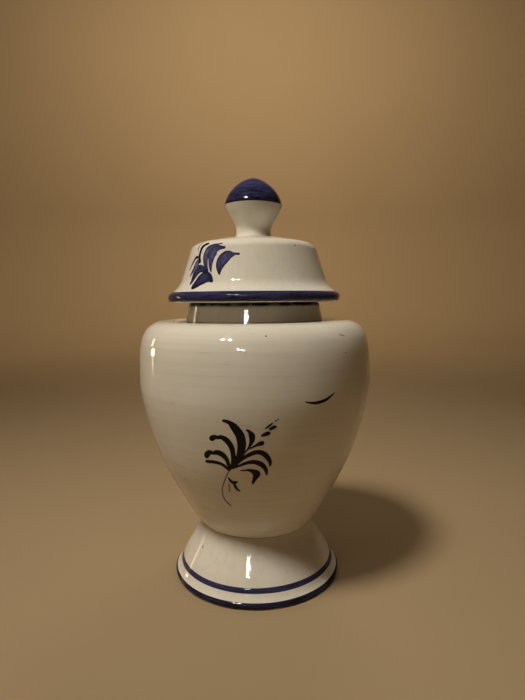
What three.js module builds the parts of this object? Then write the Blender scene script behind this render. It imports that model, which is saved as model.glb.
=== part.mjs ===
// A lidded apothecary jar of glazed earthenware, standing on a flared pedestal foot.
//
// Every piece is a solid of revolution about the Z axis. A profile is a list of [radius, height] pairs in
// millimetres that runs outwards along the bottom, up the outside and back down the inside. The origin is
// the centre of the foot ring, at the surface that the jar stands on, and +Z is up.
//
// The jar is three clay sections, stacked face to face: pedestal_foot, jar_body and neck_collar.
// The lid is three more: lid_dome, lid_locating_flange and lid_knob. It rests on the collar's lip.

import * as THREE from 'three';

// ---- Driving dimensions, in mm ----------------------------------------------------------------------

const TOTAL_HEIGHT = 200;
const SEGMENTS = 48;

// Heights of the faces where sections meet, from the table up.
const FOOT_TOP = 27.7;
const COLLAR_SEAT = 128.6;
const LIP_TOP = 138.8;
const KNOB_SEAT = 170.6;

// Pedestal foot: a hollow flare with a flat ring under it.
const FOOT_RADIUS = 42.6;
const FOOT_EDGE_TOP = 2.4;
const FOOT_RING_OUTER = 41.4;
const FOOT_RING_INNER = 37.6;
const WAIST_RADIUS = 29;
const FOOT_WALL = 4.4;

// Belly and shoulder.
const BELLY_RADIUS = 57.7;
const BELLY_WIDEST = 104;
const SHOULDER_RADIUS = 57.3;
const SHOULDER_ROUND = 13.4;
const SHOULDER_TOP = 129.9;
const CREST_RADIUS = 41.5;
const CREST_TOP = 129.7;
const MOAT_RADIUS = 38.4;
const BODY_WALL = 4.5;
const INSIDE_FLOOR = 34;
const FLOOR_EASE = 3;

// Collar round the mouth.
const COLLAR_BASE_RADIUS = 34.8;
const COLLAR_TOP_RADIUS = 33.1;
const MOUTH_RADIUS = 28.9;
const LIP_CONTACT_RADIUS = 30.6;
const LIP_ROUND_HEIGHT = 2.2;
const MOUTH_EASE = 0.8;

// Lid: rolled rim, flared skirt and domed top, with a gallery that carries the locating flange.
const RIM_RADIUS = 43;
const RIM_ROUND = 2.4;
const GALLERY_TOP = 143;
const SKIRT_FOOT = [36, 149.8];
const SKIRT_HEAD = [31.7, 163];
const CROWN_REACH = 8;
const CROWN_RISE = 5;
const LID_WALL = 4.2;
const INNER_CROWN_TOP = 161;
const FLANGE_OUTER = 27.2;
const FLANGE_INNER = 23.6;
const FLANGE_DEPTH = 8;
const FLANGE_EASE = 0.8;

// Knob: narrow waist, flaring bulb and a pointed cap.
const KNOB_BASE_RADIUS = 9.4;
const KNOB_WAIST_RADIUS = 8.7;
const KNOB_WAIST = 174.2;
const KNOB_RADIUS = 14.3;
const KNOB_WIDEST = 186.3;

// ---- Profile helpers --------------------------------------------------------------------------------

const toPoint = ([r, z]) => new THREE.Vector2(r, z);
const toPair = (point) => [point.x, point.y];

// A smooth curve through hand-chosen points.
function splineThrough(points) {
  return new THREE.SplineCurve(points.map(toPoint));
}

// A curve that leaves the first point towards the second and reaches the fourth from the third.
function bend(start, leave, arrive, end) {
  return new THREE.CubicBezierCurve(toPoint(start), toPoint(leave), toPoint(arrive), toPoint(end));
}

// Evenly spaced points of a curve.
function along(curve, steps) {
  return curve.getPoints(steps).map(toPair);
}

// Points of a curve that climbs the outside, moved inwards by the wall's thickness.
function insideOf(curve, wall, steps) {
  return Array.from({ length: steps + 1 }, (_, i) => {
    const t = i / steps;
    const point = curve.getPoint(t);
    const direction = curve.getTangent(t);
    return [point.x - wall * direction.y, point.y + wall * direction.x];
  });
}

// Part of an ellipse from one angle to another, in degrees, with 0 pointing outwards and 90 upwards.
function arc([r, z], radiusAcross, radiusUp, fromAngle, toAngle, steps) {
  return Array.from({ length: steps + 1 }, (_, i) => {
    const angle = THREE.MathUtils.degToRad(fromAngle + ((toAngle - fromAngle) * i) / steps);
    return [r + radiusAcross * Math.cos(angle), z + radiusUp * Math.sin(angle)];
  });
}

// ---- Profiles ---------------------------------------------------------------------------------------

function pedestalFootProfile() {
  const innerWaist = WAIST_RADIUS - FOOT_WALL;
  const outside = splineThrough([
    [FOOT_RADIUS, FOOT_EDGE_TOP],
    [40.2, 5.2],
    [38.7, 8],
    [36.6, 12],
    [33.2, 18],
    [30.5, 23.2],
    [WAIST_RADIUS, FOOT_TOP],
  ]);
  const inside = bend([innerWaist, FOOT_TOP], [26.2, 18.5], [34.6, 5.5], [FOOT_RING_INNER, 0]);
  const edge = bend([FOOT_RING_OUTER, 0], [42.2, 0.2], [42.8, 1], [FOOT_RADIUS, FOOT_EDGE_TOP]);
  return [...along(edge, 3), ...along(outside, 10).slice(1), ...along(inside, 7)];
}

// The belly's outside, from the waist up to where the shoulder starts to turn in.
function bellyCurve() {
  return splineThrough([
    [WAIST_RADIUS, FOOT_TOP],
    [32.7, 33],
    [38.3, 42.5],
    [43.8, 53],
    [48.7, 63.5],
    [52.5, 74.5],
    [55.4, 85.5],
    [57.3, 95.5],
    [BELLY_RADIUS, BELLY_WIDEST],
    [SHOULDER_RADIUS, SHOULDER_TOP - SHOULDER_ROUND],
  ]);
}

function jarBodyProfile() {
  const belly = bellyCurve();
  const shoulderCentre = [SHOULDER_RADIUS - SHOULDER_ROUND, SHOULDER_TOP - SHOULDER_ROUND];
  const innerRound = SHOULDER_ROUND - BODY_WALL;
  const shoulder = arc(shoulderCentre, SHOULDER_ROUND, SHOULDER_ROUND, 0, 90, 7);
  const innerShoulder = arc(shoulderCentre, innerRound, innerRound, 90, 0, 5);
  const aboveFloor = ([, z]) => z > INSIDE_FLOOR + FLOOR_EASE / 2;
  const innerBelly = insideOf(belly, BODY_WALL, 16).filter(aboveFloor).reverse();
  const [lowestInside] = innerBelly.at(-1);
  return [
    [0, FOOT_TOP],
    ...along(belly, 18),
    ...shoulder.slice(1),
    [CREST_RADIUS, CREST_TOP],
    [MOAT_RADIUS, COLLAR_SEAT],
    [MOUTH_RADIUS, COLLAR_SEAT],
    [MOUTH_RADIUS, SHOULDER_TOP - BODY_WALL],
    ...innerShoulder,
    ...innerBelly.slice(1),
    [lowestInside - FLOOR_EASE, INSIDE_FLOOR],
    [0, INSIDE_FLOOR],
  ];
}

function neckCollarProfile() {
  const lipCentre = [LIP_CONTACT_RADIUS, LIP_TOP - LIP_ROUND_HEIGHT];
  const lipReach = COLLAR_TOP_RADIUS - LIP_CONTACT_RADIUS;
  return [
    [MOUTH_RADIUS, COLLAR_SEAT],
    [COLLAR_BASE_RADIUS, COLLAR_SEAT],
    ...arc(lipCentre, lipReach, LIP_ROUND_HEIGHT, 0, 90, 5),
    [MOUTH_RADIUS + MOUTH_EASE, LIP_TOP],
    [MOUTH_RADIUS, LIP_TOP - MOUTH_EASE],
  ];
}

function lidDomeProfile() {
  const rimCentre = [RIM_RADIUS - RIM_ROUND, LIP_TOP + RIM_ROUND];
  const rim = arc(rimCentre, RIM_ROUND, RIM_ROUND, -90, 60, 7);
  const skirt = bend(rim.at(-1), [39.6, 144.6], [37, 146.6], SKIRT_FOOT);
  const crownCentre = [SKIRT_HEAD[0] - CROWN_REACH, SKIRT_HEAD[1]];
  const crown = arc(crownCentre, CROWN_REACH, CROWN_RISE, 10, 80, 6);
  const top = bend(crown.at(-1), [20, 169.4], [14, 170], [KNOB_BASE_RADIUS, KNOB_SEAT]);
  const innerHead = SKIRT_HEAD[0] - LID_WALL;
  const innerFoot = SKIRT_FOOT[0] - LID_WALL;
  const ceiling = bend([0, KNOB_SEAT - LID_WALL], [10, 166], [24, 166], [innerHead, INNER_CROWN_TOP]);
  const cove = bend([innerFoot, SKIRT_FOOT[1]], [31, 146], [27, 144], [FLANGE_INNER, GALLERY_TOP]);
  return [
    ...along(ceiling, 6),
    ...along(cove, 4),
    [FLANGE_INNER, LIP_TOP],
    ...rim,
    ...along(skirt, 5).slice(1),
    ...crown,
    ...along(top, 4).slice(1),
    [0, KNOB_SEAT],
  ];
}

function lidLocatingFlangeProfile() {
  const tip = LIP_TOP - FLANGE_DEPTH;
  return [
    [FLANGE_INNER + FLANGE_EASE, tip],
    [FLANGE_OUTER - FLANGE_EASE, tip],
    [FLANGE_OUTER, tip + FLANGE_EASE],
    [FLANGE_OUTER, LIP_TOP],
    [FLANGE_INNER, LIP_TOP],
    [FLANGE_INNER, tip + FLANGE_EASE],
  ];
}

function lidKnobProfile() {
  const waist = [KNOB_WAIST_RADIUS, KNOB_WAIST];
  const widest = [KNOB_RADIUS, KNOB_WIDEST];
  const stem = bend([KNOB_BASE_RADIUS, KNOB_SEAT], [8.8, 171.4], [8.6, 173], waist);
  const bulb = bend(waist, [8.9, 177.6], [13.3, 181.6], widest);
  const cap = bend(widest, [13.7, 190.4], [9.8, 197.6], [0, TOTAL_HEIGHT]);
  return [[0, KNOB_SEAT], ...along(stem, 3), ...along(bulb, 6).slice(1), ...along(cap, 8).slice(1)];
}

// ---- Solids -----------------------------------------------------------------------------------------

// A profile that starts off the axis is closed on itself, so the piece is a ring.
function revolve(profile) {
  const isRing = profile[0][0] > 0;
  const outline = isRing ? [...profile, profile[0]] : profile;
  const geometry = new THREE.LatheGeometry(outline.map(toPoint), SEGMENTS);
  return geometry.rotateX(Math.PI / 2);
}

function addPiece(group, name, profile, { color, roughness }) {
  const material = new THREE.MeshStandardMaterial({ color, roughness, metalness: 0 });
  const mesh = new THREE.Mesh(revolve(profile), material);
  mesh.name = name;
  group.add(mesh);
}

const whiteGlaze = { color: 0xd8cbb0, roughness: 0.15 };
const shadedGlaze = { color: 0xcfc6b2, roughness: 0.18 };
const cobaltGlaze = { color: 0x2f3060, roughness: 0.15 };
const bareClay = { color: 0xb98f6a, roughness: 0.8 };

const jar = new THREE.Group();
addPiece(jar, 'pedestal_foot', pedestalFootProfile(), whiteGlaze);
addPiece(jar, 'jar_body', jarBodyProfile(), whiteGlaze);
addPiece(jar, 'neck_collar', neckCollarProfile(), shadedGlaze);

const lid = new THREE.Group();
addPiece(lid, 'lid_dome', lidDomeProfile(), whiteGlaze);
addPiece(lid, 'lid_locating_flange', lidLocatingFlangeProfile(), bareClay);
addPiece(lid, 'lid_knob', lidKnobProfile(), cobaltGlaze);

const apothecaryJar = new THREE.Group();
apothecaryJar.add(jar, lid);

export default apothecaryJar;
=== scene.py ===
"""Looks of a lidded apothecary jar: tin-glazed earthenware with cobalt bands and brushed leaf sprays.

Every piece is a surface of revolution, or a thin layer of pigment laid on one. Lengths are in millimetres
while a shape is worked out, and mesh_piece() turns them into metres. An angle of 0 is the painted front,
which faces -Y, and angles grow towards +X.
"""

import math

import bpy
import numpy as np
from mathutils import Matrix, Vector


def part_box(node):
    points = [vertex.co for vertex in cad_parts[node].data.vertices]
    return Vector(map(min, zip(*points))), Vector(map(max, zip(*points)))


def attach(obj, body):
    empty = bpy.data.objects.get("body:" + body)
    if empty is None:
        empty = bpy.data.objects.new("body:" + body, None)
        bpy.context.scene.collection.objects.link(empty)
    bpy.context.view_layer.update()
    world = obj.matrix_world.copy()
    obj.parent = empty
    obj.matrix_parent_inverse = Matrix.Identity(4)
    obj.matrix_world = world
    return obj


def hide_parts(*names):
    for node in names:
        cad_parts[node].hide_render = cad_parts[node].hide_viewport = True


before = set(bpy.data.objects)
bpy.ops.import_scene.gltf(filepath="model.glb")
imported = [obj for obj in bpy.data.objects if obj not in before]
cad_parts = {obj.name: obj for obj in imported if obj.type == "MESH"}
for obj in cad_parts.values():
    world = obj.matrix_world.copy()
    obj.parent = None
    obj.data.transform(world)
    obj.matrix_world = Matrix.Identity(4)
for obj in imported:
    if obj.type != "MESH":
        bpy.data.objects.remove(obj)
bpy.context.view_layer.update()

MM = 0.001
SEED = 7


# ---- Sizes that come from the frame, in mm ----------------------------------------------------------


def node_box(node):
    """Lowest and highest corner of a CAD node, in mm."""
    low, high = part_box(node)
    return low / MM, high / MM


foot_high = node_box("pedestal_foot")[1]
body_high = node_box("jar_body")[1]
collar_low, collar_high = node_box("neck_collar")
dome_high = node_box("lid_dome")[1]
flange_low, flange_high = node_box("lid_locating_flange")
knob_low, knob_high = node_box("lid_knob")

FOOT_RADIUS = foot_high.x
WAIST_Z = foot_high.z
BELLY_RADIUS = body_high.x
SHOULDER_TOP = body_high.z
COLLAR_SEAT = collar_low.z
COLLAR_BASE = collar_high.x
LIP_TOP = collar_high.z
RIM_RADIUS = dome_high.x
KNOB_SEAT = knob_low.z
KNOB_RADIUS = knob_high.x
FLANGE_OUTER = flange_high.x
FLANGE_TIP = flange_low.z
TOP_Z = knob_high.z

# Sizes that the boxes don't give, in mm. COLLAR_TOP, LIP_CONTACT and KNOB_BASE are radii, and so are the
# inner and outer sizes of the ring and the flange. COLLAR_BASE, above, is one too.
FOOT_EDGE_TOP = 2.4
RING_INNER = 37.6
RING_OUTER = 41.4
RING_RISE = 0.3
WAIST_RADIUS = 29.0
FOOT_WALL = 4.4
BODY_WALL = 4.5
SHOULDER_RADIUS = BELLY_RADIUS - 0.4
SHOULDER_ROUND = 13.4
BELLY_Z = 104.0
INSIDE_FLOOR = 34.0
MOUTH_RADIUS = 28.9
COLLAR_TOP = 33.1
LIP_CONTACT = 30.6
LIP_RISE = 2.2
RIM_ROUND = 2.4
GALLERY_TOP = 143.0
LID_WALL = 4.2
GROOVE_MIDDLE = 32.0
GROOVE_DEPTH = 1.8
CROWN_CENTRE = (23.7, 163)
CROWN_REACH = 8
CROWN_RISE = 5
FLANGE_INNER = 23.6
FLANGE_EASE = 0.8
KNOB_BASE = 9.4
KNOB_WAIST = (8.7, 174.2)
KNOB_WIDEST_Z = 186.3

# How finely the turned pieces are cut, and where their shading breaks.
SEGMENTS = 240
SHARP_ANGLE = math.radians(50)
ON_AXIS = 1e-6

# How far a thrown wall strays inside its design radius, in mm. Walls narrower than THROWN_RADIUS stray less.
THROWN_RADIUS = 40.0
THROWN_MOST = 1.2
THROWN_GAP = 0.04
THROWN_OVAL = 0.07
THROWN_THREE_SIDED = 0.03
THROWN_RIDGE = 0.02

# Smooth random lines: the range of their phases and of the heights of their waves, and what evens them out.
WAVE_PHASES = (0, 6.28)
WAVE_HEIGHTS = (0.3, 1)
WAVE_EVENING = 2.4

# Wear, and the shade painted round crevices: an edge is worn if its round is about WORN_ROUND mm or less.
WORN_ROUND = 2.5
SHORTEST_SPAN = 0.3
SHADE_FADE = 1.5

# How pigment sits in the glaze, in mm: its height, how deep its root goes, and the rise of a stroke over the
# stroke before it. Its edge ends PIGMENT_EDGE times its height below its crest.
PIGMENT_RISE = 0.03
PIGMENT_EDGE = 1.6
PIGMENT_ROOT = 0.2
OVERLAP_RISE = 0.006

# Brush strokes: lengths in mm, numbers of points along a curve, round an end and across, and shares.
STROKE_STEP = 0.35
STROKE_FEWEST = 12
STROKE_CURVE_STEPS = 12
STROKE_END_STEPS = 6
STROKE_COLUMNS = 13
STROKE_SPREAD = 1.07
STROKE_END_PINCH = 0.98
STROKE_DARKEST = 1.1
RAGGED_SHARE = 0.05
RAGGED_LENGTH = 2.5
RAGGED_WAVES = (1, 2, 3.7, 6.1)
RAGGED_SEED_STEP = 40

# The noise of the bristle marks: its features to a mm along a stroke, from the middle of a stroke to its edge,
# and from one stroke to the next.
BRISTLES_ALONG = 0.35
BRISTLES_ACROSS = 3.2
BRISTLES_APART = 9.7

# Banding lines. The brush began and ended its turn at the angle BAND_LAP, in radians, where it is darker.
BAND_COLUMNS = 480
BAND_ROWS = 15
BAND_LAP = 2.6
BAND_LAP_WIDTH = 0.12
BAND_LAP_TONE = 0.12
BAND_THIN = 0.08
BAND_UNEVEN = 0.05
BAND_BRISTLES_ROUND = 0.9
BAND_BRISTLES_ACROSS = 3.5

# Where each banding line runs: heights in mm, except LOW_BAND_START, a distance along the foot's wall.
LOW_BAND_START = 0.15
LOW_BAND_TOP = 3.4
LINE_BAND = (6.3, 8.7)
RIM_BAND = (139.1, 143.9)
LOW_BAND_SEED = SEED + 50
LINE_BAND_SEED = SEED + 60
RIM_BAND_SEED = SEED + 70
CAP_EDGE_SEED = SEED + 90

# The knob's cobalt cap: how its lower edge wanders, in mm, and its tone, paler on top and darker at the edge.
CAP_EDGE_WANDER = 0.22
CAP_EDGE_FADE = 3
CAP_TONE = 0.8
CAP_PALE_FROM = 190
CAP_PALE_OVER = 6
CAP_DARK_BELOW = 188
CAP_DARK_OVER = 1.2
CAP_BRISTLES = (0.12, 0.12, 1.1)

# Materials. Relief is in metres, and most of a noise texture's values lie within NOISE_SPAN.
NOISE_SPAN = (0.3, 0.7)
GLASSY_IOR = 1.5
GLAZE_ROUGHNESS = (0.025, 0.055)
GLAZE_RELIEF = 0.00003
PIGMENT_ROUGHNESS = (0.05, 0.12)
PIGMENT_RELIEF = 0.000015
CLAY_ROUGHNESS = (0.78, 0.95)
CLAY_RELIEF = 0.00012
BODY_STREAKS = (11, 11, 1100)
BODY_CRAZE = (9, 9, 430)
UPRIGHT_STREAKS = (500, 500, 20)
UPRIGHT_CRAZE = (420, 420, 25)

# Screen colours, 0 to 255.
GLAZE_WARM = (226, 221, 208)
GLAZE_PALE = (231, 227, 217)
GLAZE_BRIGHT = (236, 233, 226)
GLAZE_STREAK = (205, 198, 184)
GLAZE_CRACK = (150, 138, 118)
GLAZE_PIT = (100, 88, 70)
GLAZE_THIN = (196, 172, 138)
# The shade painted into crevices and gaps, where less light reaches.
PAINTED_SHADE = (38, 30, 24)
CLAY_DARK = (196, 160, 120)
CLAY_PALE = (214, 182, 145)
CLAY_STAIN = (150, 112, 78)
CLAY_SPECK = (120, 80, 55)
CLAY_EDGE = (225, 200, 170)
FLOOR_TINT = (161, 140, 110)
FLOOR_TINT_LIGHT = (167, 146, 116)
WORLD_TINT = (200, 170, 130)

# The depth of cobalt pigment, from a thin wash to a pool, and its linear colour.
COBALT_RAMP = [
    (0.0, (0.72, 0.66, 0.56, 1)),
    (0.35, (0.26, 0.24, 0.34, 1)),
    (0.6, (0.06, 0.063, 0.16, 1)),
    (0.8, (0.027, 0.026, 0.07, 1)),
    (0.93, (0.002, 0.002, 0.008, 1)),
]

# The studio, in metres. Its flat floor has rings of points at FLOOR_RINGS.
STUDIO_RADIUS = 2.0
STUDIO_SEGMENTS = 96
STUDIO_TOP = 2.2
COVE_RADIUS = 0.5
FLOOR_RINGS = (0.02, 0.3, 0.8)
WORLD_STRENGTH = 0.03

# Lamps, in metres, degrees and linear colours.
LIGHT_TARGET = Vector((0, 0, 0.1))
BULB_WHITE = (1, 0.97, 0.9)
STRIP_AMBER = (1, 0.74, 0.42)
WASH_COLOUR = (1, 0.84, 0.62)
WASH_SIZE = 0.8
WASH_SPREAD = 120
WASH_REACH = 0.7
WASH_HEIGHT = 1.7
WASH_TARGET_HEIGHT = 0.5

# The camera stands in front of the jar and looks slightly down. Its numbers were fitted to the photo's
# outline: metres, then millimetres of lens and sensor, metres of clip start, and degrees.
CAMERA_PLACE = (0, -0.256, 0.1405)
CAMERA_LENS = 25.86
CAMERA_SENSOR = 36
CAMERA_CLIP = 0.01
CAMERA_AIM = -0.89
CAMERA_DIP = 5.86
CAMERA_ROLL = -0.51


# ---- Curves in the (radius, height) plane -----------------------------------------------------------


def bend(start, leave, arrive, end, steps):
    """Points of a cubic Bezier curve."""
    t = np.linspace(0, 1, steps + 1)[:, None]
    p = [np.array(q, float) for q in (start, leave, arrive, end)]
    return (1 - t) ** 3 * p[0] + 3 * t * (1 - t) ** 2 * p[1] + 3 * t**2 * (1 - t) * p[2] + t**3 * p[3]


def spline(points, steps):
    """Points of a Catmull-Rom curve through chosen points, with equal numbers of steps between them."""
    p = np.array(points, float)
    ends = np.vstack([p[0], p, p[-1]])
    t = np.linspace(0, 1, steps, endpoint=False)[:, None]
    spans = []
    for a, b, c, d in zip(ends, ends[1:], ends[2:], ends[3:]):
        lead, trail = (c - a) / 2, (d - b) / 2
        spans.append(
            (2 * t**3 - 3 * t**2 + 1) * b + (t**3 - 2 * t**2 + t) * lead
            + (3 * t**2 - 2 * t**3) * c + (t**3 - t**2) * trail
        )
    return np.vstack([*spans, p[-1:]])


def arc(centre, across, up, start, end, steps):
    """Part of an ellipse, in degrees from outwards (0) to upwards (90)."""
    a = np.radians(np.linspace(start, end, steps + 1))
    return np.stack([centre[0] + across * np.cos(a), centre[1] + up * np.sin(a)], 1)


def inside_of(curve, wall):
    """A curve that climbs the outside, moved inwards by the wall's thickness."""
    step = np.gradient(curve, axis=0)
    step /= np.linalg.norm(step, axis=1, keepdims=True)
    return np.stack([curve[:, 0] - wall * step[:, 1], curve[:, 1] + wall * step[:, 0]], 1)


def outline(*stretches):
    """One list of points from curves and single points, with repeats dropped."""
    points = np.vstack([np.atleast_2d(np.array(s, float)) for s in stretches])
    fresh = np.r_[True, np.linalg.norm(np.diff(points, axis=0), axis=1) > 1e-4]
    return points[fresh]


# ---- Profiles of the pieces: out along the bottom, up the outside and down the inside ---------------


def body_outside():
    """From the waist up to the crest of the shoulder, whose curvature grows smoothly out of the belly's."""
    steps = 10
    belly = spline(
        [
            (WAIST_RADIUS, WAIST_Z),
            (32.7, 33),
            (38.3, 42.5),
            (43.8, 53),
            (48.7, 63.5),
            (52.5, 74.5),
            (55.4, 85.5),
            (57.3, 95.5),
            (BELLY_RADIUS, BELLY_Z),
            (SHOULDER_RADIUS, SHOULDER_TOP - SHOULDER_ROUND),
        ],
        steps,
    )[: -steps]
    crest = (SHOULDER_RADIUS - SHOULDER_ROUND, SHOULDER_TOP)
    shoulder = bend(belly[-1], (BELLY_RADIUS, 120.6), (crest[0] + 12.5, SHOULDER_TOP), crest, 40)
    return outline(belly, shoulder)


def body_profile():
    """The hollow body, with a shallow moat round the neck."""
    outside = body_outside()
    crest = bend(outside[-1], (42.6, SHOULDER_TOP), (41.2, 129.9), (40.2, 129.3), 8)
    moat = bend(crest[-1], (39.2, 128.7), (38.0, COLLAR_SEAT + 0.05), (36.2, COLLAR_SEAT), 6)
    inside = inside_of(outside, BODY_WALL)[::-1]
    inside = inside[inside[:, 1] > INSIDE_FLOOR + 3]
    floor = bend(inside[-1], inside[-1] - (1.2, 2.2), (26, INSIDE_FLOOR), (20, INSIDE_FLOOR), 8)
    return outline(
        (0, WAIST_Z), outside, crest, moat, (COLLAR_BASE + 0.5, COLLAR_SEAT), (COLLAR_BASE - 1, COLLAR_SEAT),
        (MOUTH_RADIUS, COLLAR_SEAT), (MOUTH_RADIUS, inside[0, 1]), inside, floor, (0, INSIDE_FLOOR),
    )


def foot_outside():
    """From the top of the foot's rounded edge up to the waist."""
    return spline(
        [
            (FOOT_RADIUS - 0.05, FOOT_EDGE_TOP),
            (40.2, 5.2),
            (38.7, 8),
            (36.6, 12),
            (33.2, 18),
            (30.5, 23.2),
            (WAIST_RADIUS, WAIST_Z),
        ],
        9,
    )


def foot_edge():
    """The rounded lower edge of the foot."""
    top = (FOOT_RADIUS - 0.05, FOOT_EDGE_TOP)
    return bend((RING_OUTER, RING_RISE), (42.2, 0.4), (FOOT_RADIUS, 1), top, 10)


def foot_profile():
    """The glazed foot, hollow underneath."""
    inside = bend((WAIST_RADIUS - FOOT_WALL, WAIST_Z), (26.2, 18.5), (34.6, 5.5), (RING_INNER, RING_RISE), 24)
    return outline((RING_INNER, RING_RISE), foot_edge(), foot_outside(), inside)[:-1]


def ring_profile():
    """The bare clay that the foot stands on."""
    inner, outer = RING_INNER + 0.2, RING_OUTER - 0.2
    ease, top = 0.25, 0.8
    return np.array([
        (inner + ease, 0), (outer - ease, 0), (outer, ease), (outer, top), (inner, top), (inner, ease),
    ])


def collar_profile():
    """The upright collar, with a rounded lip that the lid rests on."""
    side = bend((COLLAR_BASE, COLLAR_SEAT), (34.2, 131.4), (33.5, 134), (COLLAR_TOP, LIP_TOP - LIP_RISE), 10)
    lip = arc((LIP_CONTACT, LIP_TOP - LIP_RISE), COLLAR_TOP - LIP_CONTACT, LIP_RISE, 0, 105, 18)
    return outline((MOUTH_RADIUS, COLLAR_SEAT), side, lip, (MOUTH_RADIUS + 0.2, 138.4), (MOUTH_RADIUS, 137.6))


def lid_outside():
    """From under the rolled rim up to the foot of the knob."""
    rim_centre = (RIM_RADIUS - RIM_ROUND, LIP_TOP + RIM_ROUND)
    rim = arc(rim_centre, RIM_ROUND, RIM_ROUND, -90, 60, 22)
    skirt = bend(rim[-1], (39.6, 144.6), (37, 146.6), (36, 149.8), 14)
    crown = arc(CROWN_CENTRE, CROWN_REACH, CROWN_RISE, 10, 80, 22)
    side = bend(skirt[-1], (34.9, 153.2), (33.0, 158.6), crown[0], 14)
    top = bend(crown[-1], (20, 169.4), (14, 170), (KNOB_BASE, KNOB_SEAT), 12)
    return outline(rim, skirt, side, crown, top)


def lid_profile():
    """The hollow lid, with a groove round the collar's lip."""
    ceiling = bend((0, KNOB_SEAT - LID_WALL), (10, 166), (24, 166), (27.5, 161), 20)
    hollow = bend(ceiling[-1], (28.9, 157), (30.9, 153), (31.8, GALLERY_TOP + 6.8), 10)
    cove = bend(hollow[-1], (31, 146), (27, 144), (FLANGE_INNER, GALLERY_TOP), 12)
    groove_top = LIP_TOP + GROOVE_DEPTH
    groove = [
        (GROOVE_MIDDLE - 1.6, LIP_TOP), (GROOVE_MIDDLE - 1.3, groove_top), (GROOVE_MIDDLE, groove_top),
        (GROOVE_MIDDLE + 1.3, groove_top), (GROOVE_MIDDLE + 2, LIP_TOP), (GROOVE_MIDDLE + 3.4, LIP_TOP),
    ]
    return outline(ceiling, hollow, cove, (FLANGE_INNER, LIP_TOP), groove, lid_outside(), (0, KNOB_SEAT))


def flange_profile():
    """The ring under the lid that drops inside the collar."""
    ease = FLANGE_EASE
    start, end = (FLANGE_INNER + ease, FLANGE_TIP), (FLANGE_OUTER - ease, FLANGE_TIP)
    tip = bend(start, (25.0, FLANGE_TIP), (26.0, FLANGE_TIP), end, 4)
    corner = arc((FLANGE_OUTER - ease, FLANGE_TIP + ease), ease, ease, -90, 0, 6)
    inner_corner = arc((FLANGE_INNER + ease, FLANGE_TIP + ease), ease, ease, 180, 270, 6)
    return outline(tip, corner, (FLANGE_OUTER, LIP_TOP), (FLANGE_INNER, LIP_TOP), inner_corner)[:-1]


def knob_bulb():
    """From the foot of the knob, through its waist, to its widest part."""
    stem = bend((KNOB_BASE, KNOB_SEAT), (8.8, 171.4), (8.6, 173), KNOB_WAIST, 8)
    bulb = bend(KNOB_WAIST, (8.9, 177.6), (13.3, 181.6), (KNOB_RADIUS, KNOB_WIDEST_Z), 20)
    return outline(stem, bulb)


def knob_cap(inset=0.0):
    """The dome over the widest part of the knob, up to the axis."""
    edge, top = (KNOB_RADIUS - inset, KNOB_WIDEST_Z), (0, TOP_Z - inset)
    return bend(edge, (13.7 - inset, 190.4), (9.8, 197.6 - inset), top, 30)


# ---- The potter's hand: walls slightly out of round, with shallow throwing ridges -------------------


def thrown(radius, angle, height):
    """The radius of a hand-thrown wall, never outside the design radius.

    It is a little oval, a little three-sided with a slow twist, and has ridges about 5 mm apart.
    """
    share = np.clip(radius / THROWN_RADIUS, 0, THROWN_MOST)
    oval = THROWN_OVAL * (1 + np.cos(2 * angle + 0.6))
    uneven = oval + THROWN_THREE_SIDED * (1 + np.cos(3 * angle - height / 30))
    ridges = THROWN_RIDGE * (1 + np.sin(1.3 * height + angle + 1.5 * np.sin(height / 9)))
    return radius - share * (THROWN_GAP + uneven + ridges)


def place(radius, angle, height):
    """Points in metres from radii and heights in mm and angles in radians."""
    return np.stack([radius * np.sin(angle), -radius * np.cos(angle), height + 0 * angle], -1) * MM


def waves(angle, seed, harmonics=(1, 2, 3, 5, 8, 13)):
    """A smooth random line along an angle, between about -1 and 1."""
    draws = np.random.default_rng(seed)
    line = 0
    for n in harmonics:
        phase = draws.uniform(*WAVE_PHASES)
        height = draws.uniform(*WAVE_HEIGHTS)
        line = line + np.sin(n * angle + phase) * height / n**0.5
    return line / WAVE_EVENING


# ---- Mesh building ----------------------------------------------------------------------------------


def new_object(name, contents):
    """An object in the scene that holds a mesh, a light or a camera."""
    holder = bpy.data.objects.new(name, contents)
    bpy.context.scene.collection.objects.link(holder)
    return holder


def mesh_piece(name, points, faces, material, body, stands_for=(), attributes=None):
    """A smooth-shaded mesh object that rides on a body. Attributes are numbers or triples for each point."""
    mesh = bpy.data.meshes.new(name)
    mesh.from_pydata(points.tolist(), [], [[int(i) for i in face] for face in faces])
    mesh.shade_smooth()
    mesh.set_sharp_from_angle(angle=SHARP_ANGLE)
    mesh.materials.append(material)
    for title, values in (attributes or {}).items():
        triples = values.ndim == 2
        attribute = mesh.attributes.new(title, "FLOAT_VECTOR" if triples else "FLOAT", "POINT")
        attribute.data.foreach_set("vector" if triples else "value", values.astype(np.float32).ravel())
    piece = new_object(name, mesh)
    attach(piece, body)
    if stands_for:
        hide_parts(*stands_for)
    return piece


def sharpness(rings, closed):
    """How tightly each point of a profile turns outwards: 1 for a round of WORN_ROUND mm or sharper."""
    before = rings - (np.roll(rings, 1, 0) if closed else np.vstack([rings[:1], rings[:-1]]))
    after = (np.roll(rings, -1, 0) if closed else np.vstack([rings[1:], rings[-1:]])) - rings
    turn = before[:, 0] * after[:, 1] - before[:, 1] * after[:, 0]
    lengths = np.linalg.norm(before, axis=1) * np.linalg.norm(after, axis=1)
    span = (np.linalg.norm(before, axis=1) + np.linalg.norm(after, axis=1)) / 2
    angle = np.arcsin(np.clip(turn / np.maximum(lengths, 1e-9), -1, 1))
    return np.clip(angle / np.maximum(span, SHORTEST_SPAN) * WORN_ROUND, 0, 1)


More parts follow.
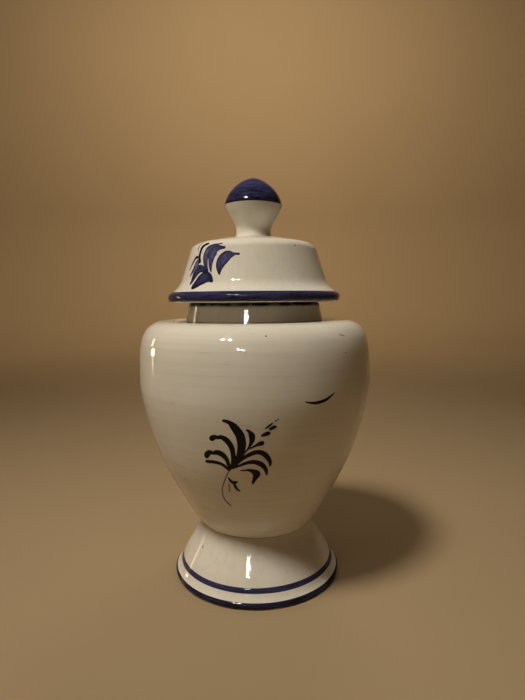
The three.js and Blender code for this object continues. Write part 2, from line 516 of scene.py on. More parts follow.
def revolve(profile, segments=SEGMENTS, wobble=None):
    """Points, faces and edge sharpness of a profile turned about Z, from axis to axis or closed on itself."""
    solid = profile[0, 0] < ON_AXIS
    rings = profile[1:-1] if solid else profile
    angle = np.arange(segments) * 2 * math.pi / segments
    height = rings[:, 1:] + 0 * angle
    if wobble:
        height = height + wobble(angle, height)
    radius = thrown(rings[:, :1], angle, height)
    points = place(radius, angle, height).reshape(-1, 3)
    rows = len(rings)
    row = np.arange(rows - 1 if solid else rows)[:, None] * segments
    above = (row + segments) % (rows * segments)
    column = np.arange(segments)
    beside = (column + 1) % segments
    faces = np.stack([row + column, row + beside, above + beside, above + column], -1).reshape(-1, 4).tolist()
    edge = np.repeat(sharpness(rings, not solid), segments)
    if solid:
        low, high, last = len(points), len(points) + 1, (rows - 1) * segments
        points = np.vstack([points, [[0, 0, profile[0, 1] * MM], [0, 0, profile[-1, 1] * MM]]])
        faces += [[low, b, a] for a, b in zip(column, beside)]
        faces += [[last + a, last + b, high] for a, b in zip(column, beside)]
        edge = np.r_[edge, 0, 0]
    return points, faces, edge


def turned_piece(name, profile, material, body, stands_for=(), crevices=()):
    """A piece turned on the wheel. Shade is painted round its crevices, each (radius, height, reach)."""
    points, faces, edge = revolve(profile)
    radius, height = np.hypot(points[:, 0], points[:, 1]) / MM, points[:, 2] / MM
    crevice_shade = np.zeros(len(points))
    for at_radius, at_height, reach in crevices:
        away = np.hypot(radius - at_radius, height - at_height) / reach
        crevice_shade = np.maximum(crevice_shade, np.clip(SHADE_FADE - SHADE_FADE * away, 0, 1))
    return mesh_piece(name, points, faces, material, body, stands_for, {"edge": edge, "crevice_shade": crevice_shade})


# ---- Pigment: thin layers that follow a wall --------------------------------------------------------


class Wall:
    """The outside of a piece. A place on it is an angle and a distance along the profile."""

    def __init__(self, curve):
        step = np.gradient(curve, axis=0)
        step /= np.linalg.norm(step, axis=1, keepdims=True)
        self.curve = curve
        self.out = np.stack([step[:, 1], -step[:, 0]], 1)
        self.run = np.r_[0, np.cumsum(np.linalg.norm(np.diff(curve, axis=0), axis=1))]

    def run_at(self, height):
        """Distance along the profile to a height."""
        return np.interp(height, self.curve[:, 1], self.run)

    def points(self, angle, run, lift):
        """Points lifted off the wall along its normal, in metres."""
        radius, height = (np.interp(run, self.run, self.curve[:, i]) for i in (0, 1))
        out_r, out_z = (np.interp(run, self.run, self.out[:, i]) for i in (0, 1))
        return place(thrown(radius, angle, height) + lift * out_r, angle, height + lift * out_z)


def layer(top, bottom, tone, brush, wraps=False):
    """Points, faces and attributes of a thin closed layer between two grids of points."""
    rows, columns = top.shape[:2]
    up = np.arange(rows * columns).reshape(rows, columns)
    if wraps:
        up = np.hstack([up, up[:, :1]])
    low = up + rows * columns
    quads = [
        (up[:-1, :-1], up[:-1, 1:], up[1:, 1:], up[1:, :-1]),
        (low[:-1, :-1], low[1:, :-1], low[1:, 1:], low[:-1, 1:]),
        (up[0, 1:], up[0, :-1], low[0, :-1], low[0, 1:]),
        (up[-1, :-1], up[-1, 1:], low[-1, 1:], low[-1, :-1]),
    ]
    if not wraps:
        quads.append((up[:-1, 0], up[1:, 0], low[1:, 0], low[:-1, 0]))
        quads.append((up[1:, -1], up[:-1, -1], low[:-1, -1], low[1:, -1]))
    faces = np.vstack([np.stack([c.ravel() for c in quad], -1) for quad in quads])
    points = np.vstack([top.reshape(-1, 3), bottom.reshape(-1, 3)])
    return points, faces, np.tile(tone.ravel(), 2), np.tile(brush.reshape(-1, 3), (2, 1))


def cross_section(across):
    """Height of a layer of pigment over the glaze, from edge (-1) to edge (1). The edges sink into it."""
    return PIGMENT_RISE * (1 - PIGMENT_EDGE * np.abs(across) ** 6)


def stroke(wall, reference, load, path, tone, wash, order):
    """One brush stroke. Its path holds (distance round a circle of the reference radius, height, width).

    The load of the brush widens the whole stroke. The wash thins the pigment along the middle of the stroke.
    A stroke of a higher order lies over those before it.
    """
    seed = SEED + order
    line = spline(path, STROKE_CURVE_STEPS)
    run = np.r_[0, np.cumsum(np.linalg.norm(np.diff(line[:, :2], axis=0), axis=1))]
    length, start, end = run[-1], line[0, 2] / 2, line[-1, 2] / 2
    turn = 1 - np.cos(np.linspace(0, math.pi / 2, STROKE_END_STEPS))
    even = np.linspace(0, length, max(STROKE_FEWEST, int(length / STROKE_STEP)))
    spots = np.unique(np.r_[even, turn * start, length - turn * end])
    across, height, width = (np.interp(spots, run, line[:, i]) for i in range(3))
    width = width * load
    for centre, half in ((0, start), (length, end)):
        inset = np.clip(1 - np.abs(spots - centre) / half, 0, 1)
        width = width * np.sqrt(1 - inset**2 * STROKE_END_PINCH)
    lean = np.stack([np.gradient(across, spots), np.gradient(height, spots)], 1)
    lean /= np.linalg.norm(lean, axis=1, keepdims=True)
    side = np.linspace(-1, 1, STROKE_COLUMNS)
    seeds = [seed + RAGGED_SEED_STEP * (s > 0) for s in side]
    edges = np.stack([waves(spots / RAGGED_LENGTH, edge_seed, RAGGED_WAVES) for edge_seed in seeds], 1)
    ragged = 1 + RAGGED_SHARE * edges
    reach = width[:, None] / 2 * STROKE_SPREAD * side * ragged
    around = (across[:, None] - reach * lean[:, 1:]) / reference
    climb = wall.run_at(height[:, None] + reach * lean[:, :1])
    lift = cross_section(side) + OVERLAP_RISE * order + 0 * reach
    share = spots[:, None] / length
    thin = wash * np.sin(math.pi * np.clip(share, 0, 1)) ** 0.7 * (1 - np.abs(side) ** 3)
    depth = np.clip(tone - thin, 0, STROKE_DARKEST)
    brush = np.stack([
        BRISTLES_ALONG * spots[:, None] + 0 * side, BRISTLES_ACROSS * side + 0 * reach,
        BRISTLES_APART * seed + 0 * reach,
    ], -1)
    top = wall.points(around, climb, lift)
    bottom = wall.points(around, climb, -PIGMENT_ROOT + 0 * lift)
    return layer(top[:, ::-1], bottom[:, ::-1], depth[:, ::-1], brush[:, ::-1])


def strokes_piece(name, wall, reference, load, strokes, body, material):
    """A painted motif of several strokes, each (path, tone, wash)."""
    layers = [stroke(wall, reference, load, *painted, order) for order, painted in enumerate(strokes)]
    points, faces, tones, brushes = zip(*layers)
    starts = np.cumsum([0] + [len(p) for p in points[:-1]])
    faces = np.vstack([f + start for f, start in zip(faces, starts)])
    attributes = {"tone": np.concatenate(tones), "brush": np.vstack(brushes)}
    return mesh_piece(name, np.vstack(points), faces, material, body, (), attributes)


def band_piece(name, wall, low, high, wobble, tone, seed, body, material):
    """A banding line turned on the wheel, between two distances along a wall."""
    angle = np.arange(BAND_COLUMNS) * 2 * math.pi / BAND_COLUMNS
    side = np.linspace(-1, 1, BAND_ROWS)[:, None]
    edges = low + wobble * waves(angle, seed), high + wobble * waves(angle, seed + 1)
    run = edges[0] + (edges[1] - edges[0]) * (side + 1) / 2
    lift = cross_section(side) + 0 * run
    past_lap = (angle - BAND_LAP + math.pi) % (2 * math.pi) - math.pi
    lap = np.exp(-((past_lap / BAND_LAP_WIDTH) ** 2))
    thin = BAND_THIN * (1 - np.abs(side) ** 4) + BAND_UNEVEN * waves(angle, seed + 2)
    depth = np.clip(tone - thin + BAND_LAP_TONE * lap, 0, 1)
    ring = BAND_BRISTLES_ROUND * wall.curve[0, 0] / 10
    brush = np.stack([
        ring * np.sin(angle) + 0 * side, ring * np.cos(angle) + 0 * side,
        BAND_BRISTLES_ACROSS * side + 0 * run,
    ], -1)
    top = wall.points(angle, run, lift)
    bottom = wall.points(angle, run, -PIGMENT_ROOT + 0 * lift)
    points, faces, tones, brushes = layer(top, bottom, depth, brush, wraps=True)
    attributes = {"tone": tones, "brush": brushes}
    return mesh_piece(name, points, faces, material, body, (), attributes)


def knob_cap_piece(material):
    """The cobalt dome of the knob. Its lower edge wanders as the brush went round."""

    def wander(angle, height):
        fade = np.clip(1 - (height - KNOB_WIDEST_Z) / CAP_EDGE_FADE, 0, 1)
        return CAP_EDGE_WANDER * waves(angle, CAP_EDGE_SEED) * fade

    inside = [
        (0, KNOB_WIDEST_Z + 1), (KNOB_RADIUS - 0.5, KNOB_WIDEST_Z + 0.4), (KNOB_RADIUS - 0.12, KNOB_WIDEST_Z),
    ]
    points, faces, edge = revolve(outline(inside, knob_cap()), wobble=wander)
    height = points[:, 2] / MM
    paler_top = 0.12 * np.clip((height - CAP_PALE_FROM) / CAP_PALE_OVER, 0, 1)
    darker_edge = 0.1 * np.clip((CAP_DARK_BELOW - height) / CAP_DARK_OVER, 0, 1)
    tone = CAP_TONE + 0.08 * edge - paler_top + darker_edge
    attributes = {"tone": tone, "brush": points / MM * CAP_BRISTLES}
    return mesh_piece("knob_cap_cobalt", points, faces, material, "lid", (), attributes)


# ---- Materials --------------------------------------------------------------------------------------


def tint(red, green, blue):
    """A linear colour from screen values of 0 to 255."""
    shares = (np.array([red, green, blue]) / 255 + 0.055) / 1.055
    return (*(float(v) for v in shares**2.4), 1.0)


class Shader:
    """A material built from nodes. Inputs are sockets or plain values; lengths are in metres."""

    def __init__(self, name):
        self.material = bpy.data.materials.new(name)
        self.material.use_nodes = True
        self.tree = self.material.node_tree
        self.surface = self.tree.nodes["Principled BSDF"]
        self.spot = self.node("ShaderNodeTexCoord").outputs["Object"]

    def join(self, node, inputs):
        """Links sockets to a node's inputs, and sets plain values on them."""
        for key, value in inputs.items():
            if isinstance(value, bpy.types.NodeSocket):
                self.tree.links.new(value, node.inputs[key])
            else:
                node.inputs[key].default_value = value

    def node(self, kind, inputs=None, **settings):
        node = self.tree.nodes.new(kind)
        for key, value in settings.items():
            setattr(node, key, value)
        self.join(node, inputs or {})
        return node

    def stretched(self, x, y, z):
        """Object coordinates scaled so that a texture's features are 1/x, 1/y and 1/z metres long."""
        return self.node("ShaderNodeMapping", {"Vector": self.spot, "Scale": (x, y, z)}).outputs[0]

    def noise(self, vector, scale=1.0, detail=3.0, roughness=0.5):
        inputs = {"Vector": vector, "Scale": scale, "Detail": detail, "Roughness": roughness}
        return self.node("ShaderNodeTexNoise", inputs).outputs["Fac"]

    def cells(self, vector, feature, scale=1.0):
        inputs = {"Vector": vector, "Scale": scale}
        return self.node("ShaderNodeTexVoronoi", inputs, feature=feature).outputs["Distance"]

    def fit(self, value, low, high, new_low=0.0, new_high=1.0):
        """Smoothly maps a range of values onto another, and stops at its ends."""
        inputs = {"Value": value, "From Min": low, "From Max": high, "To Min": new_low, "To Max": new_high}
        return self.node("ShaderNodeMapRange", inputs, interpolation_type="SMOOTHSTEP").outputs[0]

    def maths(self, operation, a, b):
        return self.node("ShaderNodeMath", {0: a, 1: b}, operation=operation).outputs[0]

    def mix(self, share, a, b):
        """Blends two colours, which are a Mix node's inputs 6 and 7 and its output 2."""
        return self.node("ShaderNodeMix", {0: share, 6: a, 7: b}, data_type="RGBA").outputs[2]

    def ramp(self, value, stops):
        node = self.node("ShaderNodeValToRGB", {"Fac": value})
        elements = node.color_ramp.elements
        elements.remove(elements[1])
        for i, (place_on, colour) in enumerate(stops):
            element = elements[0] if i == 0 else elements.new(place_on)
            element.position = place_on
            element.color = colour
        return node.outputs["Color"]

    def attribute(self, name, output="Fac"):
        return self.node("ShaderNodeAttribute", attribute_name=name).outputs[output]

    def bump(self, height, depth, strength=1.0):
        inputs = {"Height": height, "Distance": depth, "Strength": strength}
        return self.node("ShaderNodeBump", inputs).outputs[0]


def white_glaze(name, streak_scale, craze_scale, craze_share):
    """Tin glaze: warm white, streaked by the wheel or the brush, finely crazed, thin over sharp edges.

    The scales, and those of the other materials, are features to the metre.
    """
    s = Shader(name)
    cloud = s.noise(s.spot, 38, 3, 0.55)
    streaks = s.noise(s.stretched(*streak_scale), 1, 4, 0.6)
    ripple = s.maths("SUBTRACT", s.noise(s.stretched(*craze_scale), 1, 2, 0.4), 0.5)
    cracks = s.fit(s.maths("ABSOLUTE", ripple, 0.0), 0.002, 0.01, 1, 0)
    cracks = s.maths("MULTIPLY", cracks, s.fit(s.noise(s.spot, 55, 3), 0.4, 0.62))
    pits = s.fit(s.cells(s.spot, "F1", 95), 0.05, 0.075, 1, 0)
    pits = s.maths("MULTIPLY", pits, s.fit(s.noise(s.spot, 60, 0), 0.6, 0.66))
    edge = s.maths("MULTIPLY", s.attribute("edge"), s.fit(s.noise(s.spot, 220, 4), 0.35, 0.75))
    # Painted shade: the glaze is darkened round crevices and gaps.
    crevice_shade = s.maths("MULTIPLY", s.attribute("crevice_shade"), s.fit(s.noise(s.spot, 160, 4), 0.2, 0.6, 0.6, 1))

    colour = s.mix(s.fit(cloud, *NOISE_SPAN), tint(*GLAZE_WARM), tint(*GLAZE_PALE))
    colour = s.mix(s.fit(streaks, 0.48, 0.72, 0, 0.2), colour, tint(*GLAZE_STREAK))
    colour = s.mix(s.fit(streaks, 0.28, 0.42, 0.25, 0), colour, tint(*GLAZE_BRIGHT))
    colour = s.mix(s.maths("MULTIPLY", cracks, craze_share), colour, tint(*GLAZE_CRACK))
    colour = s.mix(s.maths("MULTIPLY", pits, 0.6), colour, tint(*GLAZE_PIT))
    colour = s.mix(s.maths("MULTIPLY", edge, 0.25), colour, tint(*GLAZE_THIN))
    # Painted shade in the crevices.
    colour = s.mix(crevice_shade, colour, tint(*PAINTED_SHADE))

    relief = s.maths("ADD", s.maths("MULTIPLY", streaks, 0.35), s.noise(s.spot, 130, 2))
    relief = s.maths("SUBTRACT", relief, s.maths("MULTIPLY", pits, 1.2))
    relief = s.maths("SUBTRACT", relief, s.maths("MULTIPLY", cracks, 0.1))
    gloss = s.fit(s.noise(s.spot, 150, 4), *NOISE_SPAN, *GLAZE_ROUGHNESS)
    s.join(s.surface, {
        "Base Color": colour,
        "Roughness": s.maths("ADD", gloss, s.maths("MULTIPLY", s.maths("MAXIMUM", edge, crevice_shade), 0.15)),
        "Normal": s.bump(relief, GLAZE_RELIEF),
        "IOR": GLASSY_IOR,
    })
    return s.material


def cobalt_pigment():
    """Cobalt brushed over the glaze: near-black where it pools, blue and streaked where it is thin."""
    s = Shader("cobalt_pigment")
    bristles = s.noise(s.attribute("brush", "Vector"), 1, 5, 0.62)
    grain = s.noise(s.spot, 900, 3)
    depth = s.maths("ADD", s.attribute("tone"), s.fit(bristles, *NOISE_SPAN, -0.1, 0.1))
    depth = s.maths("ADD", depth, s.fit(grain, *NOISE_SPAN, -0.03, 0.03))
    colour = s.ramp(depth, COBALT_RAMP)
    s.join(s.surface, {
        "Base Color": colour,
        "Roughness": s.fit(bristles, *NOISE_SPAN, *PIGMENT_ROUGHNESS),
        "Normal": s.bump(s.maths("ADD", bristles, grain), PIGMENT_RELIEF),
        "IOR": GLASSY_IOR,
        "Specular IOR Level": 0.2,
    })
    return s.material


def biscuit_clay():
    """Bare fired clay: buff, dry and gritty, with stains and specks, paler on its edges."""
    s = Shader("biscuit_clay")
    rings = s.noise(s.stretched(30, 30, 900), 1, 3)
    grit = s.noise(s.spot, 1500, 4, 0.7)
    specks = s.fit(s.cells(s.spot, "F1", 500), 0.08, 0.16, 1, 0)
    stain = s.fit(s.noise(s.spot, 60, 4), 0.45, 0.75)
    colour = s.mix(s.fit(rings, *NOISE_SPAN), tint(*CLAY_DARK), tint(*CLAY_PALE))
    colour = s.mix(s.maths("MULTIPLY", stain, 0.5), colour, tint(*CLAY_STAIN))
    colour = s.mix(s.maths("MULTIPLY", specks, 0.5), colour, tint(*CLAY_SPECK))
    colour = s.mix(s.maths("MULTIPLY", s.attribute("edge"), 0.25), colour, tint(*CLAY_EDGE))
    s.join(s.surface, {
        "Base Color": colour,
        "Roughness": s.fit(grit, *NOISE_SPAN, *CLAY_ROUGHNESS),
        "Normal": s.bump(s.maths("ADD", grit, s.maths("MULTIPLY", rings, 0.8)), CLAY_RELIEF),
        "Specular IOR Level": 0.3,
    })
    return s.material


# ---- The painted motifs: (distance round the jar, height, width) along each stroke -------------------

# The points were read off the photo and turned into mm on the wall outside this script, then rounded and in
# part adjusted. Each path is followed by its tone and wash.
# The leaf spray on the front of the body fans out from its base near (-10.5, 69).
BODY_REFERENCE = 50.0
BODY_SPRAY_LOAD = 1.2
BODY_COMMA_LOAD = 1.15
BODY_SPRAY = [
    ([(-12.2, 91.2, 1.1), (-9.6, 90.3, 1.6), (-8, 88.6, 2.6), (-6, 85, 3), (-5.35, 81.3, 2.9),
      (-5.9, 76.9, 2.7), (-7.6, 72.8, 2), (-10, 68.8, 1)], 1, 0),
    ([(-17.6, 81.6, 1.4), (-16.9, 82.9, 1.9), (-15.6, 83.5, 1.8), (-14.6, 83.3, 1.4), (-13.2, 83.6, 1.7),
      (-11.2, 82.4, 2.1), (-9.6, 79.6, 1.9), (-9, 75.8, 1.6), (-9.4, 72.3, 1.5), (-10.7, 68.6, 0.9)], 1, 0),
    ([(-21, 73, 1.4), (-20.2, 75, 2), (-18.7, 76.2, 1.7), (-17.3, 75.9, 1.3), (-15.6, 76.4, 1.9),
      (-13.6, 75.6, 2.1), (-12.1, 73.6, 1.6), (-11.4, 71, 1.3), (-11, 68.2, 0.8)], 1, 0),
    ([(-21.7, 71.4, 1.2), (-17.6, 71.6, 1.3), (-14.5, 70.9, 1.2), (-12.6, 69.5, 1.2),
      (-11.1, 67.6, 0.8)], 1, 0),
    ([(-3.5, 87.3, 0.7), (-2.4, 86.6, 1), (-1.5, 85, 1.8), (-1.3, 83.2, 1.7), (-1.9, 80.9, 1.1),
      (-2.9, 78.8, 0.7), (-4.9, 76.2, 0.4)], 1, 0),
    ([(-2.4, 78.6, 0.4), (0.2, 80.3, 0.9), (2.1, 81.1, 1.7), (3.2, 80.9, 2)], 1, 0),
    ([(-9.6, 69.6, 0.7), (-6.2, 73.2, 1.1), (-3, 75.7, 1.4), (0.3, 77.1, 1.7), (3, 76.4, 1.8),
      (5, 74, 1.6), (5.9, 71.5, 1), (5.5, 70.1, 0.4)], 0.98, 0),
    ([(-8.9, 69.4, 0.5), (-6.5, 70.8, 0.9), (-3.2, 72.2, 1.3), (-0.3, 72.4, 1.7), (2.3, 71.2, 1.8),
      (3.9, 69, 1.4), (4.5, 67, 1), (4.4, 65.7, 0.4)], 0.98, 0),
    ([(-6.7, 68.1, 0.5), (-3.6, 68.5, 0.8), (-1.2, 67.9, 1.8), (0.2, 66.6, 2.6), (-0.5, 64.4, 1.6),
      (-1.3, 62.4, 1), (-1.7, 61.3, 0.5)], 1, 0),
    ([(-12.3, 64.6, 0.5), (-11.4, 62.6, 1), (-10, 61.9, 1.3), (-8.2, 62.5, 0.6)], 1, 0),
    ([(-10, 61.8, 0.8), (-9.6, 59.8, 1.1), (-8.8, 58.3, 0.9), (-7.5, 57.5, 0.6)], 1, 0),
    ([(-11.8, 67.5, 0.35), (-13.8, 63.5, 0.4), (-16, 59, 0.45), (-16.9, 55.2, 0.5), (-16.5, 52, 0.55),
      (-15, 49.8, 0.6), (-13.4, 48.6, 0.4)], 0.6, 0.15),
    ([(-12.4, 61, 0.6), (-13, 56.5, 0.6)], 0.4, 0.1),
    ([(1.9, 84.4, 0.5), (3.7, 85.2, 1.4), (5.5, 85.9, 1.2)], 1, 0),
    ([(3.5, 87.6, 0.5), (5, 88.9, 0.7), (6.3, 90.1, 0.4)], 0.9, 0),
    ([(5, 87.2, 0.8), (6.4, 88, 1.1), (7.7, 88.6, 0.9)], 1, 0),
    ([(6.9, 90.5, 0.4), (8.5, 91.8, 0.4)], 0.45, 0),
]
BODY_COMMA = [
    ([(18.2, 98.2, 0.4), (20.5, 97.5, 0.8), (23.4, 97.3, 1.2), (27, 98, 1.2), (29.5, 99.4, 0.8),
      (31.2, 100.5, 0.4)], 1, 0),
]

# Two dark flaws in the glaze of the shoulder.
BODY_SPECKS = [
    ([(4.0, 125.5, 0.6), (4.6, 125.2, 0.6)], 0.72, 0),
    ([(36.4, 124.9, 0.3), (38.2, 124.4, 0.4), (39.6, 123.9, 0.3)], 0.6, 0),
]

# The spray on the left of the lid: mostly broad leaves, with thin strokes between and beside them.
LID_REFERENCE = 34.0
LID_SPRAY = [
    ([(-15.8, 165.2, 0.6), (-18.5, 164.8, 0.9), (-21, 164.2, 2.2), (-23.3, 162.9, 3.7), (-24.4, 161.4, 4.2),
      (-24.7, 159.8, 3.9), (-24.5, 158, 3.2), (-23.8, 156, 2.5), (-22.8, 154, 1.9),
      (-21.5, 152, 1.2)], 0.93, 0.36),
    ([(-13.9, 163.1, 1.2), (-15.5, 163.2, 1.5), (-17.5, 163.2, 2.6), (-19.5, 162.5, 4.2), (-20.6, 160.9, 4.7),
      (-21, 159, 3.8), (-20.9, 157, 2.8), (-20.6, 155.2, 1.9), (-20, 153.4, 1),
      (-19.5, 152, 0.4)], 0.93, 0.38),
    ([(-6.4, 160, 1.2), (-8.2, 160.2, 1.1), (-9.7, 160, 2.1), (-11.5, 159.7, 4), (-13.5, 158.7, 5.3),
      (-15, 157, 5.2), (-15.5, 155, 4.1), (-15.5, 153, 2.3), (-15.1, 150.9, 0.5)], 0.94, 0.38),
    ([(-24.6, 165.7, 1), (-27.4, 165.1, 1.5), (-29.2, 163.7, 1.8), (-29.8, 161.2, 1.7), (-29.3, 158.8, 1.7),
      (-27.8, 156.8, 1.4)], 0.95, 0.1),
    ([(-30.9, 166.6, 0.5), (-32.2, 165, 0.7), (-32.2, 162.5, 0.6)], 0.75, 0.1),
    ([(-30.6, 158.4, 2), (-30.5, 156, 3.6), (-30.2, 153, 3.6), (-30.3, 150.5, 2.2),
      (-30.9, 148.2, 0.9)], 0.6, 0.16),
    ([(-30.6, 159.6, 1.1), (-32.8, 159.4, 1.4), (-34.4, 157.3, 1.3), (-36.2, 153.9, 0.6)], 0.92, 0.1),
    ([(-31.2, 155.8, 0.9), (-32.4, 153.4, 1.1), (-33.8, 150.8, 0.6)], 0.9, 0),
    ([(-29.2, 154.8, 1.6), (-29.4, 151.8, 1.2), (-30, 149.4, 0.6)], 0.75, 0.1),
    ([(-21.8, 152.2, 1), (-23.5, 153.2, 1.8), (-25.5, 153.9, 3), (-27.6, 153.9, 4), (-29, 152.6, 3.8),
      (-29.9, 150.8, 3), (-30.6, 149, 2.1), (-31.1, 147, 1)], 0.92, 0.2),
    ([(-26.7, 144.8, 3.2), (-26.5, 146.4, 4.2), (-25.7, 147.9, 4.7), (-24.3, 149.2, 5.2), (-22.6, 149.9, 5.4),
      (-20.8, 149.8, 4.4), (-19.3, 149.1, 2.6), (-17.8, 147.9, 0.7)], 0.97, 0.26),
]


# ---- Pieces -----------------------------------------------------------------------------------------

body_glaze = white_glaze("white_glaze_body", BODY_STREAKS, BODY_CRAZE, 0.2)
upright_glaze = white_glaze("white_glaze_upright", UPRIGHT_STREAKS, UPRIGHT_CRAZE, 0.22)
cobalt = cobalt_pigment()
clay = biscuit_clay()

# Painted shade goes round the crevices listed here: the moat, the waist, the collar's lip and the lid's
# groove.
turned_piece(
    "jar_body_glazed", body_profile(), body_glaze, "jar", ["jar_body"],
    [(COLLAR_BASE + 0.8, COLLAR_SEAT, 4.0), (WAIST_RADIUS, WAIST_Z, 0.5)],
)
turned_piece("pedestal_foot_glazed", foot_profile(), upright_glaze, "jar", ["pedestal_foot"])
turned_piece("foot_ring_bare", ring_profile(), clay, "jar")
turned_piece(
    "neck_collar_glazed", collar_profile(), upright_glaze, "jar", ["neck_collar"],
    [(COLLAR_BASE, COLLAR_SEAT, 1.7), (LIP_CONTACT, LIP_TOP, 3.2), (COLLAR_TOP - 0.5, LIP_TOP - 0.8, 1.6)],
)
turned_piece(
    "lid_dome_glazed", lid_profile(), upright_glaze, "lid", ["lid_dome"],
    [(GROOVE_MIDDLE, LIP_TOP + GROOVE_DEPTH, 4.6)],
)
turned_piece("lid_flange_bare", flange_profile(), clay, "lid", ["lid_locating_flange"])
turned_piece(
    "lid_knob_glazed",
    outline((0, KNOB_SEAT - 0.5), (KNOB_BASE, KNOB_SEAT - 0.5), knob_bulb(), knob_cap(0.15)),
    upright_glaze, "lid", ["lid_knob"],
)
knob_cap_piece(cobalt)

body_wall = Wall(body_outside())
lid_wall = Wall(lid_outside())
foot_wall = Wall(outline(foot_edge(), foot_outside()))

strokes_piece("body_leaf_spray", body_wall, BODY_REFERENCE, BODY_SPRAY_LOAD, BODY_SPRAY, "jar", cobalt)
strokes_piece("body_comma", body_wall, BODY_REFERENCE, BODY_COMMA_LOAD, BODY_COMMA, "jar", cobalt)
strokes_piece("shoulder_specks", body_wall, BODY_REFERENCE, 1, BODY_SPECKS, "jar", cobalt)
strokes_piece("lid_leaf_spray", lid_wall, LID_REFERENCE, 1, LID_SPRAY, "lid", cobalt)

low_band = (LOW_BAND_START, foot_wall.run_at(LOW_BAND_TOP))
line_band = [foot_wall.run_at(height) for height in LINE_BAND]
rim_band = [lid_wall.run_at(height) for height in RIM_BAND]
band_piece("foot_band_low", foot_wall, *low_band, 0.12, 0.93, LOW_BAND_SEED, "jar", cobalt)
band_piece("foot_band_line", foot_wall, *line_band, 0.1, 0.8, LINE_BAND_SEED, "jar", cobalt)
band_piece("lid_rim_band", lid_wall, *rim_band, 0.12, 0.83, RIM_BAND_SEED, "lid", cobalt)


# ---- Floor, camera and lights -----------------------------------------------------------------------


def studio_floor():
    """A plain pale floor that curves up into a round wall."""
    s = Shader("studio_paint")
    tone = s.mix(s.noise(s.spot, 3, 2), tint(*FLOOR_TINT), tint(*FLOOR_TINT_LIGHT))
    s.join(s.surface, {"Base Color": tone, "Roughness": 0.8, "Specular IOR Level": 0.2})
    angle = np.arange(STUDIO_SEGMENTS) * 2 * math.pi / STUDIO_SEGMENTS
    cove = arc((STUDIO_RADIUS - COVE_RADIUS, COVE_RADIUS), COVE_RADIUS, COVE_RADIUS, -90, 0, 16)
    flat = [(radius, 0) for radius in FLOOR_RINGS]
    rings = outline(flat, cove, (STUDIO_RADIUS, STUDIO_TOP))
    points = np.stack([
        rings[:, :1] * np.sin(angle), -rings[:, :1] * np.cos(angle), rings[:, 1:] + 0 * angle
    ], -1).reshape(-1, 3)
    row = np.arange(len(rings) - 1)[:, None] * STUDIO_SEGMENTS
    above = row + STUDIO_SEGMENTS
    column = np.arange(STUDIO_SEGMENTS)
    beside = (column + 1) % STUDIO_SEGMENTS
    faces = np.stack([row + column, above + column, above + beside, row + beside], -1).reshape(-1, 4).tolist()
    faces.append(list(range(STUDIO_SEGMENTS)))
    mesh = bpy.data.meshes.new("studio_floor")
    mesh.from_pydata(points.tolist(), [], faces)
    mesh.shade_smooth()
    mesh.materials.append(s.material)
    floor = new_object("studio_floor", mesh)


def direction(azimuth, elevation):
    """A unit vector. Azimuth 0 is the front, and positive is towards +X."""
    a, e = math.radians(azimuth), math.radians(elevation)
    return Vector((math.sin(a) * math.cos(e), -math.cos(a) * math.cos(e), math.sin(e)))


def area_light(name, size, watts, colour, spread):
    """An area light: a disc, or a strip if its size is (width, height)."""
    light = bpy.data.lights.new(name, "AREA")
    if isinstance(size, tuple):
        light.shape = "RECTANGLE"
        light.size, light.size_y = size
    else:
        light.shape = "DISK"
        light.size = size
    light.energy = watts
    light.color = colour
    light.spread = math.radians(spread)
    holder = new_object(name, light)
    holder.visible_camera = False
    return holder


def lamp(name, azimuth, elevation, distance, size, watts, colour, spread=180, glossy=True, diffuse=True):
    """An area light aimed at the middle of the jar."""
    holder = area_light(name, size, watts, colour, spread)
    away = direction(azimuth, elevation)
    holder.location = LIGHT_TARGET + away * distance
    holder.rotation_euler = away.to_track_quat("Z", "Y").to_euler()
    holder.visible_glossy = glossy
    holder.visible_diffuse = diffuse


def wall_wash(azimuth, watts):
    """Lights the part of the studio wall in one direction from above the jar."""
    holder = area_light(f"wall_wash_{azimuth}", WASH_SIZE, watts, WASH_COLOUR, WASH_SPREAD)
    ahead = direction(azimuth, 0)
    holder.location = ahead * WASH_REACH + Vector((0, 0, WASH_HEIGHT))
    aim = Vector(holder.location) - (ahead * STUDIO_RADIUS + Vector((0, 0, WASH_TARGET_HEIGHT)))
    holder.rotation_euler = aim.to_track_quat("Z", "Y").to_euler()
    holder.visible_glossy = False


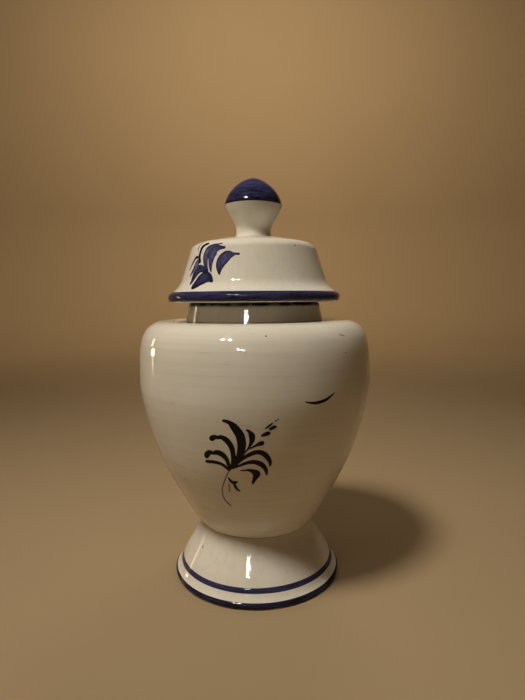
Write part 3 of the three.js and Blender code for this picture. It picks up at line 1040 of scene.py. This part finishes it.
def camera():
    """The scene's camera, at the photograph's viewing angle."""
    lens = bpy.data.cameras.new("camera")
    lens.lens = CAMERA_LENS
    lens.sensor_width = CAMERA_SENSOR
    lens.clip_start = CAMERA_CLIP
    holder = new_object("camera", lens)
    turn = (
        Matrix.Rotation(math.radians(CAMERA_AIM), 4, "Z")
        @ Matrix.Rotation(math.radians(90 - CAMERA_DIP), 4, "X")
        @ Matrix.Rotation(math.radians(CAMERA_ROLL), 4, "Z")
    )
    holder.matrix_world = Matrix.Translation(CAMERA_PLACE) @ turn
    bpy.context.scene.camera = holder


def dim_world():
    """A faint warm light from all round."""
    world = bpy.data.worlds.new("studio_air")
    world.use_nodes = True
    background = world.node_tree.nodes["Background"]
    background.inputs["Color"].default_value = tint(*WORLD_TINT)
    background.inputs["Strength"].default_value = WORLD_STRENGTH
    bpy.context.scene.world = world


studio_floor()
dim_world()
camera()
bpy.context.scene.view_settings.view_transform = "Standard"

# The soft lamps light the jar. The bulbs, the glow and the strips only make reflections.
lamp("key_soft", -43, 60.5, 1.0, 0.2, 1.1, (1, 0.92, 0.78), glossy=False, spread=70)
lamp("ceiling_fill", 20, 80, 1.2, 0.9, 0.18, (1, 0.88, 0.7), glossy=False, spread=70)
lamp("back_soft", 160, 50, 1.0, 0.4, 0.2, (1, 0.9, 0.76), glossy=False, spread=70)
lamp("left_soft", -95, 22, 1.0, 0.3, 0.45, (1, 0.68, 0.44), glossy=False)
for title, azimuth, elevation in (("left", -38, 47), ("right", -29, 47.5)):
    lamp(f"high_bulb_{title}", azimuth, elevation, 1.0, 0.032, 2.0, BULB_WHITE, diffuse=False)
for title, azimuth, elevation in (("left", -16, 23.2), ("right", -12, 22.8), ("top", -15.5, 25)):
    lamp(f"low_bulb_{title}", azimuth, elevation, 1.0, 0.022, 0.45, BULB_WHITE, diffuse=False)
lamp("warm_glow", -112, 3, 0.9, (0.1, 0.05), 0.3, (1, 0.76, 0.44), diffuse=False)
lamp("warm_strip", -111, -2, 0.9, (0.045, 0.22), 0.14, STRIP_AMBER, diffuse=False)
lamp("warm_back_strip", -117, 11, 0.9, (0.05, 0.12), 0.15, STRIP_AMBER, diffuse=False)
for azimuth, watts in ((180, 12), (90, 1), (0, 2.5), (-90, 3)):
    wall_wash(azimuth, watts)
